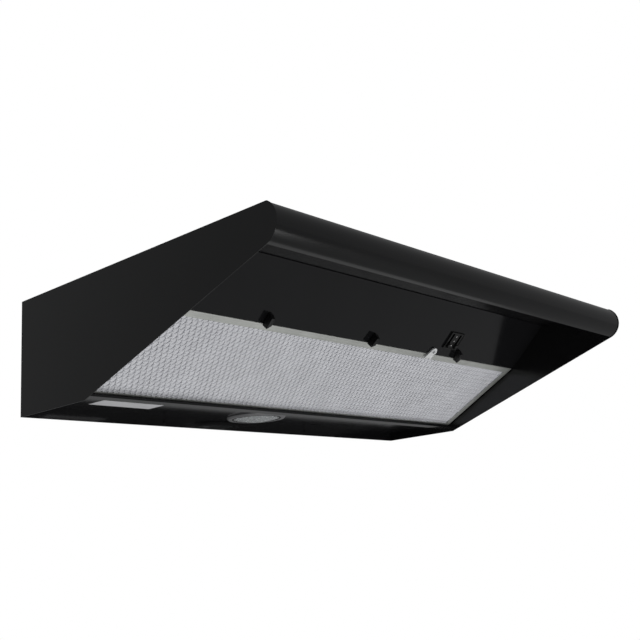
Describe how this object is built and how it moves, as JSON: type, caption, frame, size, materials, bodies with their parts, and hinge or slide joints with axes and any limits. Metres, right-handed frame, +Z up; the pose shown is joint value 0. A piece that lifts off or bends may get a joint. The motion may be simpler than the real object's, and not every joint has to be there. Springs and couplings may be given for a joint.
{
  "type": "under cabinet range hood",
  "caption": "Low sheet metal range hood with a rounded front, slanted mesh filter on turn latches, slide switches, a round lamp and a ducted double blower.",
  "frame": {"origin": "centre of the four cabinet screw holes, on the top plate's upper face", "axes": "+X to the right seen from the front, +Y towards the wall, +Z up; the front faces -Y"},
  "size_m": [0.76, 0.47, 0.19],
  "materials": {
    "black_enamel": "gloss",
    "inner_enamel": "gloss",
    "zinc_steel": "satin",
    "filter_aluminium": "satin",
    "mesh_aluminium": "satin",
    "latch_plastic": "satin",
    "clear_plastic": "gloss",
    "switch_plastic": "satin",
    "mark_white": "satin",
    "lamp_ring_plastic": "satin",
    "lamp_glass": "frosted",
    "bulb_glass": "frosted",
    "ceramic": "satin",
    "plate_silver": "satin",
    "motor_steel": "satin",
    "shaft_steel": "satin",
    "wheel_plastic": "matte",
    "box_plastic": "matte",
    "rubber_black": "matte",
    "capacitor_case": "satin",
    "wire_dark": "matte",
    "wire_light": "matte"
  },
  "bodies": {
    "hood": {"canopy_shell": "black_enamel", "side_panel_left": "black_enamel", "side_panel_right": "black_enamel", "back_panel": "inner_enamel", "rear_knockout": "zinc_steel", "control_panel": "inner_enamel", "lamp_tray": "inner_enamel", "rating_plate": "plate_silver", "filter_frame": "filter_aluminium", "filter_mesh_lower": "mesh_aluminium", "filter_core": "mesh_aluminium", "filter_mesh_upper": "mesh_aluminium", "latch_screws": "latch_plastic", "clear_latch_screw": "zinc_steel", "switch_bezel": "switch_plastic", "switch_housing": "switch_plastic", "switch_marks": "mark_white", "lamp_ring": "lamp_ring_plastic", "lamp_lens": "lamp_glass", "lamp_can": "zinc_steel", "lamp_holder": "ceramic", "lamp_bulb": "bulb_glass", "tray_screws": "black_enamel", "blower_wrap": "zinc_steel", "blower_side_left": "zinc_steel", "blower_side_right": "zinc_steel", "blower_screws": "zinc_steel", "motor": "motor_steel", "motor_bracket": "zinc_steel", "motor_bush": "rubber_black", "capacitor": "capacitor_case", "capacitor_strap": "zinc_steel", "duct_collar": "zinc_steel", "collar_screws": "zinc_steel", "damper_rod": "shaft_steel", "terminal_box": "box_plastic", "terminal_cover": "box_plastic", "terminal_block": "ceramic", "cable_gland": "rubber_black", "wire_grommet": "rubber_black", "switch_wires": "wire_dark", "lamp_wires": "wire_light", "motor_wires": "wire_dark"},
    "latch_left": {"filter_latch_left": "latch_plastic"},
    "latch_centre": {"filter_latch_centre": "latch_plastic"},
    "latch_right": {"filter_latch_right": "latch_plastic"},
    "clear_latch": {"clear_latch": "clear_plastic"},
    "light_slider": {"light_slider": "switch_plastic"},
    "speed_slider": {"speed_slider": "switch_plastic"},
    "rotor": {"motor_shaft": "shaft_steel", "impeller_left": "wheel_plastic", "impeller_right": "wheel_plastic"},
    "damper": {"damper_flap": "zinc_steel"}
  },
  "joints": [
    {"name": "latch_left_turn", "type": "hinge", "parent": "hood", "child": "latch_left", "pos_m": [-0.208, -0.121, -0.05636], "axis": [0, -0.6896, -0.7242], "range_deg": [-90, 90]},
    {"name": "latch_centre_turn", "type": "hinge", "parent": "hood", "child": "latch_centre", "pos_m": [-0.003, -0.121, -0.05636], "axis": [0, -0.6896, -0.7242], "range_deg": [-90, 90]},
    {"name": "latch_right_turn", "type": "hinge", "parent": "hood", "child": "latch_right", "pos_m": [0.202, -0.121, -0.05636], "axis": [0, -0.6896, -0.7242], "range_deg": [-90, 90]},
    {"name": "clear_latch_turn", "type": "hinge", "parent": "hood", "child": "clear_latch", "pos_m": [0.142, -0.11702, -0.06015], "axis": [0, -0.6896, -0.7242], "range_deg": [-60, 60]},
    {"name": "light_slide", "type": "slide", "parent": "hood", "child": "light_slider", "axis": [0, -0.7242, 0.6896], "range_m": [0, 0.016]},
    {"name": "speed_slide", "type": "slide", "parent": "hood", "child": "speed_slider", "axis": [0, -0.7242, 0.6896], "range_m": [0, 0.016]},
    {"name": "rotor_spin", "type": "hinge", "parent": "hood", "child": "rotor", "pos_m": [0, 0.062, -0.064], "axis": [1, 0, 0], "continuous": true},
    {"name": "damper_swing", "type": "hinge", "parent": "hood", "child": "damper", "pos_m": [0, 0.013, 0.009], "axis": [1, 0, 0], "range_deg": [0, 78]}
  ]
}
